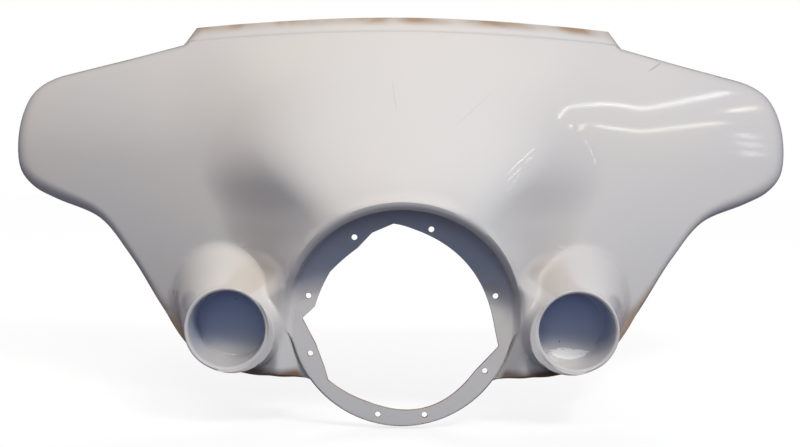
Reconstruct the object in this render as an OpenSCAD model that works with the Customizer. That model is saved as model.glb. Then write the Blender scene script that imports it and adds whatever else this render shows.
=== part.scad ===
// Outer front fairing shell for a motorcycle: one moulding with a hooded
// headlight ring, two blind lamp cups, swept wings and a screen flange.
// Units are millimetres. X is to the right seen from the front, Z is up,
// the front looks along -Y, and the origin is the centre of the ring face.

/* [Shell] */
// thickness of the moulded skin
skin_t = 3; // [2.4:0.1:3.6]
// half of the width over the wing tips
half_w = 437; // [425:1:450]
// how far the wings sweep back for each millimetre of width
wing_sweep = 0.56; // [0.5:0.01:0.62]
// depth of the turned-back edge at the wing tips
edge_turn = 24; // [18:1:32]

/* [Headlight ring] */
// diameter of the circle through the eight screw holes
ring_pcd = 178; // [174:0.5:182]
// diameter of each screw hole
hole_d = 5.3; // [4:0.1:6.5]
// thickness of the flat ring
ring_t = 3; // [2.6:0.1:3.6]
// width of the flat ring outside the screw circle
ring_margin = 12; // [11:0.5:13]
// how far the hood stands out in front of the ring
hood_reach = 60; // [50:1:68]
// depth of the skirt behind the hanging half of the ring
skirt_d = 12; // [9:0.5:16]

/* [Lamp cups] */
// distance of each cup from the centre line
cup_x = 158; // [156:0.5:160]
// inside radius of a cup at its mouth
cup_r = 35.9; // [35:0.1:36.4]
// inside radius of a cup at its floor
cup_floor_r = 32.8; // [31:0.1:33.6]
// depth from the mouth to the floor
cup_depth = 45; // [36:1:50]

/* [Screen flange] */
// width of the strip that the windscreen lies on
flange_w = 18; // [14:0.5:22]
// depth of the step down to the strip
flange_step = 4; // [3:0.25:5]

/* [Hidden] */

cup_z = -5;
cup_y = -20;
lip_r = cup_r + 2.6;
pod_dx = 0.04;
pod_dz = 0.15;
pod_k = 0.24;
brow_z = 114;
side_reach = 8;
web_w = 50;
rim_extra = 6;
nose_round = 150;
lap = 0.05;
ring_r = ring_pcd / 2 + ring_margin;
plate_r = ring_r - 6.5;
cut_k = ring_pcd / 178;

function clamp01(t) = min(1, max(0, t));
function ease(t) = let (u = clamp01(t)) u * u * (3 - 2 * u);
function mix(a, b, t) = a + (b - a) * t;
function smin(a, b, k) = let (h = max(k - abs(a - b), 0) / k) min(a, b) - h * h * k / 4;
function smax(a, b, k) = let (h = max(k - abs(a - b), 0) / k) max(a, b) + h * h * k / 4;

// how far the hood stands forward at a height
function reach(z) = smax(hood_reach / brow_z * z, side_reach, 16);

// upper slope from the brow to the screen
function upper(x, z) =
  let (u = z - brow_z)
  4 - hood_reach + 0.6 * (sqrt(x * x + nose_round * nose_round) - nose_round)
  + 0.85 * u + 0.0009 * u * abs(u);

// swept front face of a wing
function wing(x, z) = 75 + wing_sweep * (abs(x) - 200) + 0.0009 * (z - 20) * (z - 20);

// nose around the headlight with its steep cheeks
function cheek_d(x, z) = z > 110 ? norm([x, z - 110]) : abs(x);
function cheek_s(z) = 2.3 - 0.7 * ease((z - 20) / 70);
function cheek_r(z) = 107 - 31 * ease((z - 30) / 90) + web_w * ease((46 - z) / 60);
function cheek_k(z) = 16 + 26 * ease((z - 30) / 50);
function recess_d(x, z) = norm([x, max(0, z)]);
function front(x, z) = let (o = max(0, recess_d(x, z) - 109)) o * o / 100 + 0.4 * o * ease(o / 16);
function recess(x, z) = 1.1 * (109 - recess_d(x, z));
function nose(x, z) =
  smax(smax(front(x, z), recess(x, z), 7), cheek_s(z) * (cheek_d(x, z) - cheek_r(z)), cheek_k(z))
  - reach(z);

// slanting housing of a lamp cup, for a housing of mouth radius r; towards the ring its rim is wider
function rim_more(qx, qz) =
  let (c = (-0.9 * qx - 0.43 * qz) / max(1, norm([qx, qz]))) rim_extra * max(0, c) * max(0, c);
function pod(x, z, r0) =
  let (qx = abs(x) - cup_x, qz = z - cup_z, more = rim_more(qx, qz), r = r0 + more,
       a = pod_dx * pod_dx + pod_dz * pod_dz - pod_k * pod_k,
       b = qx * pod_dx + qz * pod_dz + r * pod_k,
       c = qx * qx + qz * qz - r * r)
  smax(cup_y + 3 + c / (b + sqrt(max(0, b * b - a * c))),
       cup_y + 3 - 0.3 * more + 0.25 * (norm([qx, qz]) - r0) - 6 * (1 - more / rim_extra), 4);

// the outside surface as a depth behind the ring plane
function edge_k(x) = 26 + 34 * ease((abs(x) - 130) / 120);
function body(x, z) =
  smax(upper(x, z), smin(nose(x, z), wing(x, z), 34 + 60 * ease((z - 70) / 110)), edge_k(x));
function face(x, z, r) = smin(body(x, z), pod(x, z, r), 30 - 17 * ease((z + 5) / 35));
function outer(x, z) = face(x, z, lip_r);

// outline of the turned edge, right half, at numbered stations
knots = [
  [5, 88.9, -57], [7, 118, -57.2], [9, 158, -56.5], [11, 180, -54], [13, 198, -46.5],
  [15, 213, -35], [17, 228, -20], [19, 245, 0], [22, 285, 49], [24, 322, 83.5],
  [26, 380, 102], [27, 410, 114], [28, 430, 133], [29, 437, 163], [30, 435, 197],
  [31, 423, 223.5], [32, 398, 238.5], [33, 358, 247], [34, 300, 258], [35, 238, 271]];
nk = len(knots);
last_wing = 35;
half_n = 42;
n_st = 2 * half_n;

function seg(h, i = 0) = i >= nk - 2 || h < knots[i + 1][0] ? i : seg(h, i + 1);
function tang(i) = knots[min(i + 1, nk - 1)] - knots[max(i - 1, 0)];
function slope_at(i) = let (d = tang(i)) [d[1], d[2]] / d[0];
function knot_pt(h) =
  let (i = seg(h), a = knots[i], b = knots[i + 1], w = b[0] - a[0], t = (h - a[0]) / w,
       ma = slope_at(i) * w, mb = slope_at(i + 1) * w,
       p = [a[1], a[2]], q = [b[1], b[2]])
  (2 * t * t * t - 3 * t * t + 1) * p + (t * t * t - 2 * t * t + t) * ma
  + (3 * t * t - 2 * t * t * t) * q + (t * t * t - t * t) * mb;
function rim(h) =
  let (p = knot_pt(h)) [p[0] * (1 + (half_w - 437) / 437 * ease((p[0] - 240) / 190)), p[1]];

// stations: ring angle, inset of the shoulder and depth of the turn
ring_angles = [
  [0, -90], [4, -33.5], [5, -30.5], [8, -16], [9, -6], [19, 40], [35, 69], [36, 71], [42, 90]];
insets = [
  [5, 3.4], [6, 7.5], [7, 9.5], [8, 5.5], [9, 4.5], [13, 6], [19, 9],
  [22, 11], [24, 13], [26, 17], [29, 20], [31, 18], [33, 13], [35, 9]];
turns = [[5, 24], [6, 18], [9, 12], [19, 14], [22, 18], [26, 22], [29, 22], [31, 20], [35, 16]];
function ring_a(h) = lookup(h, ring_angles);
function inset(h) = lookup(h, insets);
function turn(h) = edge_turn / 24 * lookup(h, turns);

// flat ring radius and the start of the body around it
function flat_r(a) = a < 0 ? ring_r + 4.5 * sin(a) : ring_r + 2.5 * ease(a / 30);
function hood_m(a) = ease((reach(108 * sin(a)) - 8) / 18);
function lip_w(a) = mix(mix(4.2, 8.6, ease((a + 14) / 13)), 11, ease(a / 55));
function ring_out(h) = let (a = ring_a(h)) flat_r(a) + lip_w(a);

// where the body meets the shoulder of the turned edge
function out_dir(h) = let (d = rim(h + 0.05) - rim(h - 0.05), m = norm(d)) [d[1], -d[0]] / m;
function screen_x(h) = 229 * (half_n - h) / (half_n - last_wing - 1);
function screen_z(x) = 276 - 3.5 * (x / 229) * (x / 229);
function shoulder(h) =
  h <= 4 ? let (a = ring_a(h)) (flat_r(a) + 3) * [cos(a), sin(a)]
  : h <= last_wing ? rim(h) - inset(h) * out_dir(h)
  : [screen_x(h), screen_z(screen_x(h))];
function start(h) = let (a = ring_a(h)) (h <= 4 ? flat_r(a) + 1 : ring_out(h)) * [cos(a), sin(a)];

// loop around a lamp cup that joins its fan of faces to the main rows
blk_a = 9;
blk_b = 19;
row_v = 4;
row_a = 5;
row_b = 15;
n_row = 17;
// foot of the nose: [station, ridge x, ridge z, valley x, valley z]
foot = [
  [0, 0, 0, 0, 0], [5, 88.8, -52.6, 88.85, -52.9], [6, 97, -46, 99.5, -47.3],
  [7, 104.5, -37.5, 110, -41], [8, 108, -28, 112, -32], [9, 110.3, -9.5, 112.2, -7.5],
  [11, 110.9, 7, 112.9, 8.5], [13, 111.2, 24.5, 115, 25.5], [15, 110.8, 40, 121, 40.5],
  [17, 110.5, 56, 127, 56], [19, 110, 72, 129, 73], [22, 111, 92, 131, 95], [25, 112, 114, 134, 119],
  [28, 107, 136, 142, 148], [31, 98, 153, 143, 173], [34, 82, 162, 126, 191], [36, 71, 162, 107, 193],
  [39, 36, 158, 54, 192], [42, 0, 156, 0, 192]];
function column(h, k) = lookup(h, [for (f = foot) [f[0], f[k]]]);
function ridge(h) = [column(h, 1), column(h, 2)];
function valley(h) = [column(h, 3), column(h, 4)];
loop_r = [
  [-90, 44.3], [-60, 44.8], [-40, 47], [-20, 53], [0, 63], [45, 68],
  [90, 68], [120, 57], [150, 48], [180, 44.3], [225, 42.5], [270, 44.3]];
function loop_pt(p) = [cup_x, cup_z] + lookup(p, loop_r) * [cos(p), sin(p)];
function brow(h) = mix(start(h), ridge(h), 0.3);
function near(h, j) = [start(h), brow(h), ridge(h), (ridge(h) + valley(h)) / 2, valley(h)][j];
function straight(h, j) =
  j <= row_v ? near(h, j)
  : let (t = (j - row_v) / (n_row - row_v)) mix(valley(h), shoulder(h), t * (0.8 + 0.2 * t));
function bent(h, j) =
  let (p_in = h == blk_a ? 180 : 90, p_out = h == blk_a ? -90 : 0)
  j <= row_v ? near(h, j)
  : j >= row_b ? mix(loop_pt(p_out), shoulder(h), (j - row_b) / (n_row - row_b))
  : loop_pt(h == blk_a ? 180 + 9 * (j - row_a) : 90 - 9 * (j - row_a));
function plan(h, j) =
  h <= 4 ? mix(start(h), shoulder(h), j / n_row)
  : h < blk_a ? straight(h, j)
  : h > blk_b ? straight(h, j)
    + (1 - ease((h - blk_b) / 9)) * (bent(blk_b, j) - straight(blk_b, j))
  : h == blk_a || h == blk_b ? bent(h, j)
  : j <= row_v ? near(h, j)
  : j == row_a ? loop_pt(180 - 9 * (h - blk_a))
  : j >= row_b
    ? mix(loop_pt(-90 + 9 * (h - blk_a)), shoulder(h), (j - row_b) / (n_row - row_b))
  : [cup_x, cup_z];

// rows of one station, from the ring to the free edge
n_lip = 6;
function lip_rows(h) =
  let (a = ring_a(h), r = flat_r(a), m = hood_m(a), d = reach(108 * sin(a)), u = [cos(a), sin(a)],
       low = h <= 4, t0 = plate_r - 8 - r, f = ease((a + 14) / 13), w = lip_w(a), g = -d / 10,
       side_r = mix([t0, 0, 1, 1.6, 2, 2.6], [t0, 0, 0.3 * w, 0.5 * w, 0.68 * w, 0.84 * w], f),
       side_y = mix([lap, lap, 0.4, 1.4, 3.4, 6], [lap, lap, 1.4 * g, 3.6 * g, 6.2 * g, 8.2 * g], f),
       pr = low ? [t0, 0, 0.3, 0.5, 0.7, 0.9] : side_r,
       py = low ? [lap, lap, 0.2, 0.5, 0.9, 1.4] : side_y,
       hr = [t0, 0, 0.8, 1, 1.8, 0.6 * w],
       hy = [lap, lap, -3, -d * 0.5, 7 - d, -d - 1])
  [for (k = [0:5]) let (rr = r + mix(pr[k], hr[k], m), p = rr * u) [p[0], mix(py[k], hy[k], m), p[1]]];
function depth_at(h, j, p) = h <= 4 ? mix(1.8, skirt_d - 3, j / n_row) : outer(p[0], p[1]);
function main_rows(h) = [for (j = [0:n_row]) let (p = plan(h, j)) [p[0], depth_at(h, j, p), p[1]]];
function bez(a, b, c, d, t) =
  let (s = 1 - t) s * s * s * a + 3 * s * s * t * b + 3 * s * t * t * c + t * t * t * d;
function turn_rows(h) =
  let (p = shoulder(h), y = outer(p[0], p[1]), n = out_dir(h), e = inset(h), g = turn(h),
       q = p - 2 * n, s = min(3, max(0, (y - outer(q[0], q[1])) / 2)),
       p0 = [p[0], y, p[1]], p1 = p0 + 0.55 * e * [n[0], h < 19 ? min(s, 1) : s, n[1]],
       low_y = lookup(h, [[5, 42], [9, 46], [12, 50], [15, 62], [19, 96], [22, 132]]),
       y3 = mix(max(low_y, y + 5), y + 0.7 * s * e + g, ease((h - 17) / 5)),
       p3 = [p[0] + e * n[0], y3, p[1] + e * n[1]], p2 = p3 - [0, min(0.6 * g, 0.5 * (y3 - y)), 0])
  [for (t = [0.36, 0.7, 1]) bez(p0, p1, p2, p3, t)];
function screen_rows(h) =
  let (p = shoulder(h), k = p[0] / 229, y = outer(p[0], p[1]), s = y - outer(p[0], p[1] - 1), w = flange_w)
  [for (r = [[1, 0.5], [3.5, 1], [w, 1]])
    [p[0] - 3.5 * k * r[0] / w, y + s * r[0] + flange_step * r[1], p[1] + r[0]]];
function skirt_rows(h) =
  let (a = ring_a(h), r = flat_r(a) + 3)
  [for (t = [0.33, 0.67, 1]) [(r + 0.3 * t) * cos(a), skirt_d - 3 + 3 * t, (r + 0.3 * t) * sin(a)]];
function edge_rows(h) = h <= 4 ? skirt_rows(h) : (h <= last_wing ? turn_rows(h) : screen_rows(h));
function rows(h) = concat(lip_rows(h), main_rows(h), edge_rows(h));

half = [for (h = [0:half_n]) rows(h)];
function flip(p) = [-p[0], p[1], p[2]];
skin = [for (i = [0:n_st - 1]) i <= half_n ? half[i] : [for (p = half[n_st - i]) flip(p)]];
n_j = len(half[0]);

// inner skin: main rows follow the slope of the surface, the rest the mesh
function unit(v) = v / max(norm(v), 0.000001);
function grad_n(x, z) =
  unit([(outer(x + 0.5, z) - outer(x - 0.5, z)), -1, (outer(x, z + 0.5) - outer(x, z - 0.5))]);
function mesh_n(i, j) =
  unit(cross(skin[i][min(j + 1, n_j - 1)] - skin[i][max(j - 1, 0)],
             skin[(i + 1) % n_st][j] - skin[(i + n_st - 1) % n_st][j]));
function st(i) = i <= half_n ? i : n_st - i;
function on_face(i, j) = st(i) > 4 && j > n_lip && j < n_lip + n_row;
function normal(i, j) = on_face(i, j) ? grad_n(skin[i][j][0], skin[i][j][2]) : mesh_n(i, j);
function back(i, j) =
  j == 0 ? skin[i][0] + [0, ring_t - 2 * lap, 0] : skin[i][j] - skin_t * normal(i, j);
inner = [for (i = [0:n_st - 1]) [for (j = [0:n_j - 1]) back(i, j)]];

// fan of faces for a lamp cup: housing, rounded mouth, tapered wall and floor
n_loop = 40;
function loop_i(a) = a < 10 ? blk_a : a < 20 ? blk_a + a - 10 : a < 30 ? blk_b : blk_b - (a - 30);
function loop_j(a) = a < 10 ? row_a + a : a < 20 ? row_b : a < 30 ? row_b - (a - 20) : row_a;
function circ(a, r, y, dx = 0, dz = 0) =
  let (p = 180 + 9 * a) [cup_x + dx + r * cos(p), y, cup_z + dz + r * sin(p)];
v_depth = 29;
v_r = lip_r - 3.2 + pod_k * (v_depth - 3);
function loop_on(mesh, a) = mesh[loop_i(a)][loop_j(a) + n_lip];
function slide(p, q, t, r, d) =
  let (x = mix(p[0], q[0], t), z = mix(p[2], q[2], t)) [x, face(x, z, r) + d * (1 - t), z];
mouth_rows = [
  [lip_r - 0.5, 0.9], [cup_r + 0.9, 0], [cup_r, 1.4],
  [cup_floor_r, cup_depth - 2.5], [cup_floor_r - 3, cup_depth]];
cup_out = concat(
  [for (t = [0.35, 0.65, 0.87, 1])
    [for (a = [0:n_loop - 1]) slide(loop_on(skin, a), circ(a, lip_r, 0), t, lip_r, 0)]],
  [for (r = mouth_rows) [for (a = [0:n_loop - 1]) circ(a, r[0], cup_y + r[1])]]);
v_dx = pod_dx * v_depth;
v_dz = pod_dz * v_depth;
back_rows = [
  [cup_r + 1.3, v_depth], [cup_floor_r + skin_t, cup_depth],
  [cup_floor_r - 1.5, cup_depth + skin_t]];
cup_in = concat(
  [for (t = [0.45, 0.82]) [for (a = [0:n_loop - 1])
    slide(loop_on(inner, a), circ(a, v_r, 0, v_dx, v_dz), t, lip_r - 3.2, 1.2 * skin_t)]],
  [[for (a = [0:n_loop - 1]) circ(a, v_r, cup_y + v_depth, v_dx, v_dz)]],
  [for (r = back_rows) [for (a = [0:n_loop - 1]) circ(a, r[0], cup_y + r[1])]]);

// one list of points and one list of faces
n_main = n_st * n_j;
k_out = len(cup_out);
k_in = len(cup_in);
base_out = 2 * n_main;
base_in = base_out + 2 * (k_out * n_loop + 1);
function flat(l) = [for (a = l) for (b = a) b];
function side_pts(l, y, s) = concat([for (p = flat(l)) s > 0 ? p : flip(p)], [[s * cup_x, y, cup_z]]);
points = concat(flat(skin), flat(inner),
  side_pts(cup_out, cup_y + cup_depth, 1), side_pts(cup_out, cup_y + cup_depth, -1),
  side_pts(cup_in, cup_y + cup_depth + skin_t, 1), side_pts(cup_in, cup_y + cup_depth + skin_t, -1));

function vm(i, j, s) = s * n_main + (i % n_st) * n_j + j;
function quad(a, b, c, d, f) = f ? [[a, b, c], [a, c, d]] : [[a, b, d], [b, c, d]];
function miss(p, q) = let (m = (p + q) / 2) abs(m[1] - outer(m[0], m[2]));
function pick(i, j) =
  let (a = skin[i][j], b = skin[(i + 1) % n_st][j],
       c = skin[(i + 1) % n_st][j + 1], d = skin[i][j + 1])
  st(i) > 4 && st(i + 1) > 4 && j >= n_lip && j < n_lip + n_row
  ? miss(a, c) < miss(b, d) : i < half_n;
function in_block(i, j) =
  let (h = i < half_n ? i : n_st - 1 - i)
  h >= blk_a && h < blk_b && j >= row_a + n_lip && j < row_b + n_lip;
function rings(s) = s == 0 ? k_out : k_in;
function fan_base(s, m) = (s == 0 ? base_out : base_in) + (m ? rings(s) * n_loop + 1 : 0);
function ring_v(k, a, s, m) =
  let (w = a % n_loop, i = loop_i(w))
  k == 0 ? vm(m ? n_st - i : i, loop_j(w) + n_lip, s) : fan_base(s, m) + (k - 1) * n_loop + w;
function turn_face(f, flip_it) = flip_it ? [f[0], f[2], f[1]] : f;
function fan_quad(k, a, s, m) =
  quad(ring_v(k, a + 1, s, m), ring_v(k, a, s, m),
       ring_v(k + 1, a, s, m), ring_v(k + 1, a + 1, s, m), true);
function cup_faces(s, m) =
  let (k_n = rings(s), tip = fan_base(s, m) + k_n * n_loop, back_face = m != (s == 1))
  concat(
    [for (k = [0:k_n - 1]) for (a = [0:n_loop - 1]) for (f = fan_quad(k, a, s, m))
      turn_face(f, back_face)],
    [for (a = [0:n_loop - 1])
      turn_face([ring_v(k_n, a + 1, s, m), ring_v(k_n, a, s, m), tip], back_face)]);
function skin_quad(i, j, s) =
  quad(vm(i, j, s), vm(i + 1, j, s), vm(i + 1, j + 1, s), vm(i, j + 1, s), pick(i, j));
function rim_quad(i, j) = quad(vm(i, j, 0), vm(i + 1, j, 0), vm(i + 1, j, 1), vm(i, j, 1), true);
faces = concat(
  [for (s = [0, 1]) for (i = [0:n_st - 1]) for (j = [0:n_j - 2]) if (!in_block(i, j))
    for (f = skin_quad(i, j, s)) turn_face(f, s == 1)],
  [for (i = [0:n_st - 1])
    for (f = quad(vm(i + 1, 0, 0), vm(i, 0, 0), vm(i, 0, 1), vm(i + 1, 0, 1), true)) f],
  [for (i = [0:n_st - 1]) for (f = rim_quad(i, n_j - 1)) f],
  [for (s = [0, 1]) for (m = [false, true]) for (f = cup_faces(s, m)) f]);

// opening cut by hand through the flat ring: corners joined by shallow arcs
cut_top = [-8.5, 90];
cut_top_right = [9, 85.5];
cut_right = [84.5, -1.5];
cut_right_corner = [89, -22.5];
cut_low_right = [67, -46];
cut_low_left = [-31.5, -74.5];
cut_left_low_corner = [-67.5, -54.5];
cut_left_low = [-71, -42.5];
cut_left_mid = [-79, -21];
cut_left_corner = [-91.4, 2.6];
cut_left_high = [-80.2, 13.2];
cut_left_bend = [-66.2, 45.3];
cut_top_left = [-41.3, 67.3];
cut_top_left_end = [-28, 81.5];
function bow(p, q, s, n) =
  let (c = (p + q) / 2, d = (q - p) / 2, u = [-d[1], d[0]] / norm(d))
  [for (t = [1:n - 1]) let (k = 2 * t / n - 1) c + k * d + s * (1 - k * k) * u];
opening = concat(
  [cut_top, cut_top_right], bow(cut_top_right, cut_right, 17, 12),
  [cut_right, cut_right_corner, cut_low_right], bow(cut_low_right, cut_low_left, 20, 12),
  [cut_low_left], bow(cut_low_left, cut_left_low_corner, 2, 4),
  [cut_left_low_corner, cut_left_low, cut_left_mid, cut_left_corner, cut_left_high],
  bow(cut_left_high, cut_left_bend, 1, 3), [cut_left_bend], bow(cut_left_bend, cut_top_left, 0.8, 3),
  [cut_top_left], bow(cut_top_left, cut_top_left_end, -2, 3), [cut_top_left_end]);

// screw holes, measured round the ring from +X; their spacing is uneven
hole_angles = [-104, -76, -30.4, 15.8, 72.9, 119.7, 164.8, 199.6];

module shell_skin() {
  polyhedron(points = points, faces = faces, convexity = 8);
}

module ring_plate() {
  rotate([-90, 0, 0])
  cylinder(r = plate_r, h = ring_t, $fn = 84);
}

module ring_opening() {
  translate([0, 20, 0])
  rotate([90, 0, 0])
  linear_extrude(height = 40)
  polygon(cut_k * opening);
}

module screw_holes() {
  for (a = hole_angles)
    translate([ring_pcd / 2 * cos(a), -10, ring_pcd / 2 * sin(a)])
    rotate([-90, 0, 0])
    cylinder(d = hole_d, h = 20, $fn = 16);
}

module fairing_shell() {
  color([0.86, 0.85, 0.83])
  difference() {
    union() {
      shell_skin();
      ring_plate();
    }
    ring_opening();
    screw_holes();
  }
}

fairing_shell();
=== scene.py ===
"""A bare motorcycle fairing, as it comes out of its mould.

The moulded shell is rebuilt here from the same sizes as the frame, with finer rows, and dressed in
off-white gelcoat in front, bare laminate behind and amber resin where it was cut. Lengths in this
file are millimetres until a mesh is made. X is to the right seen from the front, Z is up, and the
front looks along -Y.
"""
import logging
import math
from dataclasses import dataclass, field
from enum import Enum
from typing import Sequence

import bmesh
import bpy
import numpy as np
from mathutils import Matrix, Vector
from mathutils.geometry import delaunay_2d_cdt


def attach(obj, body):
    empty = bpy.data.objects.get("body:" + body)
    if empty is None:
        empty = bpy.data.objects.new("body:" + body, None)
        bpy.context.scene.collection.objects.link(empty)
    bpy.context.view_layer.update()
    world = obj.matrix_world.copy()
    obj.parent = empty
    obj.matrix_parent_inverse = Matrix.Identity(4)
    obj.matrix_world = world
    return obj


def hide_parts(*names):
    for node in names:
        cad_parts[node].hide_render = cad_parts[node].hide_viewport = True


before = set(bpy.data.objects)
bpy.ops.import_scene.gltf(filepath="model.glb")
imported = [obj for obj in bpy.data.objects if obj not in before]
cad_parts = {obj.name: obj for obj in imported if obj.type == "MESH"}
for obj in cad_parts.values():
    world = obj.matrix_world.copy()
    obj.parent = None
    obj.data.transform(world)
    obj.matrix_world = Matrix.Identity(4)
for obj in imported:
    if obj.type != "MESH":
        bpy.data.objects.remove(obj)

Array = np.ndarray
Pair = tuple[float, float]
Triple = tuple[float, float, float]
Material = bpy.types.Material
Object = bpy.types.Object
Socket = bpy.types.NodeSocket
Tree = bpy.types.NodeTree

LOG = logging.getLogger("fairing")
MM = 0.001
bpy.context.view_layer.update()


def ease(t: Array) -> Array:
    """Eases from 0 to 1 with a level start and end."""
    u = np.clip(t, 0.0, 1.0)
    return u * u * (3.0 - 2.0 * u)


def mix(a: Array, b: Array, t: Array) -> Array:
    """Goes from a to b as t goes from 0 to 1."""
    return a + (b - a) * t


def soft_min(a: Array, b: Array, k: Array) -> Array:
    """The smaller of two depths, blended over k."""
    h = np.maximum(k - np.abs(a - b), 0.0) / k
    return np.minimum(a, b) - h * h * k / 4.0


def soft_max(a: Array, b: Array, k: Array) -> Array:
    """The larger of two depths, blended over k."""
    return -soft_min(-a, -b, k)


class Join(Enum):
    """How a track runs through its given values."""

    STEADY = "never past a given value"
    FLOWING = "with the direction of its neighbours"


@dataclass(frozen=True)
class Track:
    """Values given at a few keys, joined by one smooth curve."""

    keys: tuple[float, ...]
    values: tuple
    join: Join = Join.STEADY

    def at(self, t: Array | float) -> Array:
        """Reads the curve.

        Args:
            t: One key or an array of keys.

        Returns:
            One value for each key, or one row for each key where the values are points.
        """
        x = np.asarray(self.keys, float)
        y = np.asarray(self.values, float).reshape(len(x), -1)
        w = np.diff(x)[:, None]
        s = np.diff(y, axis=0) / w
        m = np.empty_like(y)
        m[0], m[-1] = s[0], s[-1]
        if self.join is Join.FLOWING:
            m[1:-1] = (y[2:] - y[:-2]) / (x[2:] - x[:-2])[:, None]
        else:
            same = s[:-1] * s[1:] > 0
            low, high = np.where(same, s[:-1], 1.0), np.where(same, s[1:], 1.0)
            blend = 3 * (w[:-1] + w[1:]) / ((2 * w[1:] + w[:-1]) / low + (w[1:] + 2 * w[:-1]) / high)
            m[1:-1] = np.where(same, blend, 0.0)
        p = np.clip(np.atleast_1d(np.asarray(t, float)), x[0], x[-1])
        i = np.clip(np.searchsorted(x, p, side="right") - 1, 0, len(x) - 2)
        u = ((p - x[i]) / w[i, 0])[:, None]
        out = ((2 * u**3 - 3 * u**2 + 1) * y[i] + (u**3 - 2 * u**2 + u) * m[i] * w[i]
               + (3 * u**2 - 2 * u**3) * y[i + 1] + (u**3 - u**2) * m[i + 1] * w[i])
        if np.ndim(self.values[0]) == 0:
            out = out[:, 0]
        return out[0] if np.ndim(t) == 0 else out


@dataclass
class ShellForm:
    """The outside surface of the moulding, as a depth behind the ring plane."""

    skin_t: float = 3.0
    wing_sweep: float = 0.56
    hood_reach: float = 60.0
    brow_z: float = 114.0
    nose_round: float = 150.0
    cup_x: float = 158.0
    cup_z: float = -5.0
    cup_y: float = -20.0
    lip_r: float = 38.5
    pod_dx: float = 0.04
    pod_dz: float = 0.15
    pod_k: float = 0.24
    side_reach: float = 8.0
    web_w: float = 50.0
    recess_r: float = 109.0
    rim_extra: float = 6.0

    def reach(self, z: Array) -> Array:
        """How far the hood stands forward at a height."""
        return soft_max(self.hood_reach / self.brow_z * z, self.side_reach, 16.0)

    def upper(self, x: Array, z: Array) -> Array:
        """Upper slope from the brow to the screen."""
        u = z - self.brow_z
        crown = 0.6 * (np.sqrt(x * x + self.nose_round**2) - self.nose_round)
        return 4.0 - self.hood_reach + crown + 0.85 * u + 0.0009 * u * np.abs(u)

    def wing(self, x: Array, z: Array) -> Array:
        """Swept front face of a wing."""
        return 75.0 + self.wing_sweep * (np.abs(x) - 200.0) + 0.0009 * (z - 20.0) ** 2

    def nose(self, x: Array, z: Array) -> Array:
        """Nose around the headlight with its steep cheeks and the recess of the ring."""
        off = np.hypot(x, np.maximum(0.0, z)) - self.recess_r
        past = np.maximum(0.0, off)
        front = soft_max(past * past / 100.0 + 0.4 * past * ease(past / 16.0), -1.1 * off, 7.0)
        d = np.where(z > 110.0, np.hypot(x, z - 110.0), np.abs(x))
        steep = 2.3 - 0.7 * ease((z - 20.0) / 70.0)
        side = 107.0 - 31.0 * ease((z - 30.0) / 90.0) + self.web_w * ease((46.0 - z) / 60.0)
        return soft_max(front, steep * (d - side), 16.0 + 26.0 * ease((z - 30.0) / 50.0)) - self.reach(z)

    def body(self, x: Array, z: Array) -> Array:
        """The shell without its lamp housings."""
        low = soft_min(self.nose(x, z), self.wing(x, z), 34.0 + 60.0 * ease((z - 70.0) / 110.0))
        return soft_max(self.upper(x, z), low, 26.0 + 34.0 * ease((np.abs(x) - 130.0) / 120.0))

    def pod(self, x: Array, z: Array, r: float) -> Array:
        """Slanting lamp housing with a mouth of radius r and a wider rim towards the ring."""
        qx, qz = np.abs(x) - self.cup_x, z - self.cup_z
        q = np.hypot(qx, qz)
        more = self.rim_extra * np.maximum(0.0, (-0.9 * qx - 0.43 * qz) / np.maximum(1.0, q)) ** 2
        wide = r + more
        a = self.pod_dx**2 + self.pod_dz**2 - self.pod_k**2
        b = qx * self.pod_dx + qz * self.pod_dz + wide * self.pod_k
        c = qx * qx + qz * qz - wide * wide
        wall = c / (b + np.sqrt(np.maximum(0.0, b * b - a * c)))
        rim = 0.25 * (q - r) - 0.3 * more - 6.0 * (1.0 - more / self.rim_extra)
        return self.cup_y + 3.0 + soft_max(wall, rim, 4.0)

    def depth(self, x: Array, z: Array, r: float = 0.0) -> Array:
        """Depth of the outside surface.

        Args:
            x: Distances from the centre line.
            z: Heights.
            r: Mouth radius of the lamp housings, or 0 for the moulded one.

        Returns:
            The depth behind the ring plane at each point.
        """
        pod = self.pod(x, z, r or self.lip_r)
        return soft_min(self.body(x, z), pod, 30.0 - 17.0 * ease((z + 5.0) / 35.0))


NOSE_STATIONS = (5, 6, 7, 8, 9, 11, 13, 15, 17, 19, 22, 25, 28, 31, 34, 36, 39, 42)


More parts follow.
